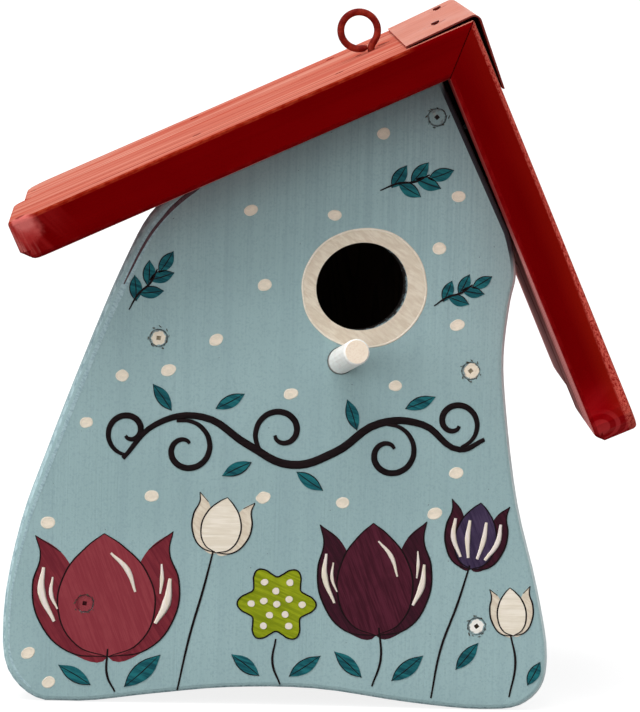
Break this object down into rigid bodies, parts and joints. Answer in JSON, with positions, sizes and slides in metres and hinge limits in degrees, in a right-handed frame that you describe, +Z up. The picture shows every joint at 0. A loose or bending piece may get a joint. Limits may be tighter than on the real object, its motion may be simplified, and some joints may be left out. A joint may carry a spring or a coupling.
{
  "type": "bird nest box",
  "caption": "Painted wooden nest box with a flared front, round entrance, perch, steep lopsided gable roof with a ridge strip, hanging eye and a swing-down clean-out floor.",
  "frame": {"origin": "on the ground below the middle of the outer box, feet of both panels at z = 0", "axes": "+Z up, -Y is the front with the entrance, +X to the viewer's right as seen from the front, where the roof is steep"},
  "size_m": [0.231, 0.1532, 0.258],
  "materials": {
    "blue_painted_wood": "chalky blue-grey brushed paint, worn at the edges",
    "red_painted_wood": "semi-gloss dark red paint, faded and streaked on top",
    "cream_painted_wood": "semi-matt cream paint",
    "bare_wood": "unpainted planed softwood",
    "red_painted_sheet": "thin bent sheet painted with the roof",
    "painted_screw": "screw heads painted over with the panel",
    "painted_pin": "pin heads painted over with the roof",
    "red_painted_steel": "steel wire painted dark red with the roof",
    "zinc_steel": "bright zinc plated, slightly dulled"
  },
  "bodies": {
    "box": {"front_panel": "blue_painted_wood", "back_panel": "blue_painted_wood", "left_wall": "blue_painted_wood", "right_wall": "blue_painted_wood", "ridge_batten": "bare_wood", "left_front_plank": "red_painted_wood", "left_rear_plank": "red_painted_wood", "right_front_plank": "red_painted_wood", "right_rear_plank": "red_painted_wood", "ridge_strip": "red_painted_sheet", "strip_pin_1": "painted_pin", "strip_pin_2": "painted_pin", "strip_pin_3": "painted_pin", "strip_pin_4": "painted_pin", "screw_eye": "red_painted_steel", "perch": "cream_painted_wood", "front_screw_1": "painted_screw", "front_screw_2": "painted_screw", "front_screw_3": "painted_screw", "front_screw_4": "painted_screw", "front_screw_5": "painted_screw", "back_screw_1": "zinc_steel", "back_screw_2": "zinc_steel", "back_screw_3": "zinc_steel", "back_screw_4": "zinc_steel", "back_screw_5": "zinc_steel", "roof_pin_1": "painted_pin", "roof_pin_2": "painted_pin", "roof_pin_3": "painted_pin", "roof_pin_4": "painted_pin", "roof_pin_5": "painted_pin", "roof_pin_6": "painted_pin", "roof_pin_7": "painted_pin", "roof_pin_8": "painted_pin", "roof_pin_9": "painted_pin", "roof_pin_10": "painted_pin", "roof_pin_11": "painted_pin", "roof_pin_12": "painted_pin", "button_screw": "zinc_steel"},
    "floor_flap": {"floor_flap": "bare_wood", "pivot_screw_left": "zinc_steel", "pivot_screw_right": "zinc_steel"},
    "turn_button": {"turn_button": "zinc_steel"}
  },
  "joints": [
    {"name": "floor_hinge", "type": "hinge", "parent": "box", "child": "floor_flap", "pos_m": [0, 0.04155, 0.019], "axis": [1, 0, 0], "range_deg": [0, 85]},
    {"name": "button_pivot", "type": "hinge", "parent": "box", "child": "turn_button", "pos_m": [0.06126, -0.02045, 0.0105], "axis": [0, 0, 1], "range_deg": [0, 90]}
  ]
}
